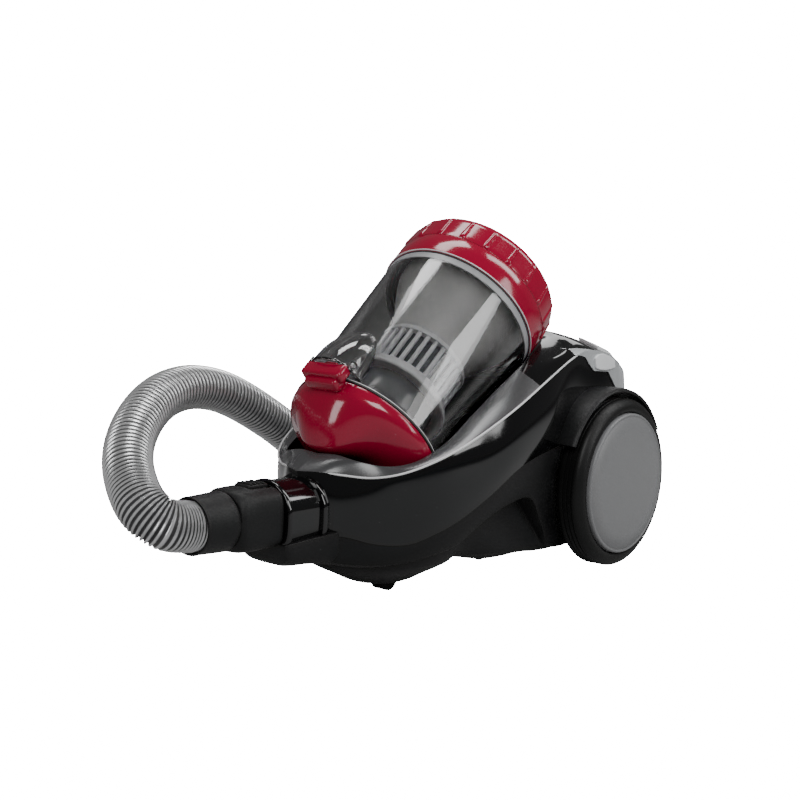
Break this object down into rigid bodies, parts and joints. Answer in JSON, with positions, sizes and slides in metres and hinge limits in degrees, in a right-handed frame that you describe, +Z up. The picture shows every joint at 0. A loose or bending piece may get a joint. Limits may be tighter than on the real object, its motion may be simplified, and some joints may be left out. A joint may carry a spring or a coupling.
{
  "type": "canister vacuum cleaner",
  "caption": "Wheeled canister vacuum cleaner with a leaning cyclone dust cup, twist-off lid, hinged bottom door, cord reel and a swivelling ribbed hose.",
  "frame": {"origin": "on the floor, under the middle of the machine without its hose", "axes": "+X to the rear, the nose and hose port point to -X, -Y is the left side, +Z is up"},
  "size_m": [0.6892, 0.4174, 0.3293],
  "materials": {
    "shell_black": "glossy moulded plastic",
    "chassis_black": "fine textured matte plastic",
    "lid_red": "glossy deep red plastic",
    "cup_clear": "clear moulded plastic",
    "inner_grey": "satin grey plastic",
    "inner_light": "satin light grey plastic",
    "hub_grey": "satin grey plastic",
    "tyre": "satin rubber",
    "hose_grey": "ribbed silver-grey plastic",
    "handle_silver": "silver painted plastic",
    "steel": "plain steel",
    "copper": "lacquered copper winding",
    "board": "green circuit board",
    "foam": "filter foam",
    "seal": "soft rubber",
    "bush": "sintered bronze"
  },
  "bodies": {
    "chassis": {"lower_chassis": "chassis_black", "upper_shell": "shell_black", "cradle": "shell_black", "fenders": "shell_black", "hose_port": "chassis_black", "port_seal": "seal", "inlet_duct": "chassis_black", "outlet_duct": "chassis_black", "pre_motor_filter": "foam", "motor_housing": "inner_grey", "motor_stator": "copper", "motor_mounts": "seal", "exhaust_filter": "foam", "circuit_board": "board", "power_switch": "inner_light", "reel_frame": "inner_grey", "reel_spring": "steel", "cord_grommet": "seal", "rear_axles": "steel", "caster_bush": "bush", "handle_pin": "steel", "screws": "steel", "connector_body": "chassis_black", "hose_tube": "hose_grey", "wand_handle": "chassis_black"},
    "left_wheel": {"left_tyre": "tyre", "left_rim": "chassis_black", "left_hub_cap": "hub_grey"},
    "right_wheel": {"right_tyre": "tyre", "right_rim": "chassis_black", "right_hub_cap": "hub_grey"},
    "caster_fork": {"caster_fork": "chassis_black", "caster_axle": "steel"},
    "caster_wheel": {"caster_wheel": "tyre"},
    "motor_rotor": {"motor_shaft": "steel", "fan_impeller": "inner_light"},
    "cord_reel": {"reel_drum": "inner_light"},
    "exhaust_cover": {"exhaust_cover": "chassis_black"},
    "power_pedal": {"power_pedal": "handle_silver"},
    "rewind_pedal": {"rewind_pedal": "handle_silver"},
    "release_handle": {"release_handle": "handle_silver"},
    "dust_cup": {"dust_cup": "cup_clear", "hinge_pin": "steel", "latch_pin": "steel"},
    "bottom_door": {"bottom_door": "lid_red", "door_seal": "seal"},
    "door_latch": {"door_latch": "lid_red"},
    "separator": {"cyclone_cone": "inner_grey", "shroud_grille": "inner_grey", "shroud_skirt": "inner_light", "vortex_tubes": "inner_grey", "lid_seal": "seal"},
    "lid": {"lid_collar": "lid_red"},
    "connector_button": {"connector_button": "chassis_black"},
    "hose_cuff": {"hose_cuff": "chassis_black"},
    "suction_slider": {"suction_slider": "chassis_black"}
  },
  "joints": [
    {"name": "left_wheel_spin", "type": "hinge", "parent": "chassis", "child": "left_wheel", "pos_m": [0.14, -0.11, 0.08], "axis": [0, 1, 0], "continuous": true},
    {"name": "right_wheel_spin", "type": "hinge", "parent": "chassis", "child": "right_wheel", "pos_m": [0.14, 0.11, 0.08], "axis": [0, 1, 0], "continuous": true},
    {"name": "caster_swivel", "type": "hinge", "parent": "chassis", "child": "caster_fork", "pos_m": [-0.073, 0, 0.035], "axis": [0, 0, 1], "continuous": true},
    {"name": "caster_roll", "type": "hinge", "parent": "caster_fork", "child": "caster_wheel", "pos_m": [-0.065, 0, 0.0115], "axis": [0, 1, 0], "continuous": true},
    {"name": "motor_spin", "type": "hinge", "parent": "chassis", "child": "motor_rotor", "pos_m": [0.082, -0.031, 0.06], "axis": [0, 0, 1], "continuous": true},
    {"name": "reel_spin", "type": "hinge", "parent": "chassis", "child": "cord_reel", "pos_m": [0.135, 0.049, 0.102], "axis": [0, 1, 0], "continuous": true},
    {"name": "exhaust_cover_swing", "type": "hinge", "parent": "chassis", "child": "exhaust_cover", "pos_m": [0.212, -0.022, 0.046], "axis": [0, 1, 0], "range_deg": [0, 60], "stiffness_Nm_per_rad": 0.02, "springref_deg": -20.05},
    {"name": "power_pedal_press", "type": "hinge", "parent": "chassis", "child": "power_pedal", "pos_m": [0.16706, -0.074, 0.18374], "axis": [0, 1, 0], "range_deg": [0, 4], "stiffness_Nm_per_rad": 0.6, "springref_deg": -5.73},
    {"name": "rewind_pedal_press", "type": "hinge", "parent": "chassis", "child": "rewind_pedal", "pos_m": [0.16706, 0.074, 0.18374], "axis": [0, 1, 0], "range_deg": [0, 4], "stiffness_Nm_per_rad": 0.6, "springref_deg": -5.73},
    {"name": "handle_lift", "type": "hinge", "parent": "chassis", "child": "release_handle", "pos_m": [0.158, 0, 0.203], "axis": [0, -1, 0], "range_deg": [0, 16]},
    {"name": "cup_lift", "type": "slide", "parent": "chassis", "child": "dust_cup", "axis": [-0.5926, 0, 0.8055], "range_m": [0, 0.3]},
    {"name": "door_swing", "type": "hinge", "parent": "dust_cup", "child": "bottom_door", "pos_m": [-0.04226, 0, 0.08287], "axis": [0, -1, 0], "range_deg": [0, 90]},
    {"name": "latch_press", "type": "hinge", "parent": "dust_cup", "child": "door_latch", "pos_m": [-0.13226, 0, 0.2128], "axis": [0, 1, 0], "range_deg": [0, 8], "stiffness_Nm_per_rad": 0.15, "springref_deg": -6.88},
    {"name": "lid_lift", "type": "slide", "parent": "dust_cup", "child": "separator", "axis": [0.8055, 0, 0.5926], "range_m": [0, 0.24]},
    {"name": "lid_twist", "type": "hinge", "parent": "separator", "child": "lid", "pos_m": [0.0414, 0, 0.24], "axis": [0.8055, 0, 0.5926], "range_deg": [0, 30]},
    {"name": "connector_button_press", "type": "slide", "parent": "chassis", "child": "connector_button", "axis": [-0.0698, 0, -0.9976], "range_m": [0, 0.002], "stiffness_N_per_m": 400, "springref_m": -0.002},
    {"name": "hose_swivel", "type": "hinge", "parent": "chassis", "child": "hose_cuff", "pos_m": [-0.218, 0, 0.099], "axis": [-0.9976, 0, 0.0698], "continuous": true},
    {"name": "suction_slide", "type": "slide", "parent": "chassis", "child": "suction_slider", "axis": [0, -1, 0], "range_m": [0, 0.014]}
  ],
  "couplings": [
    {"joint": "door_swing", "follows": "cup_lift", "rad_per_m": 5.2}
  ]
}
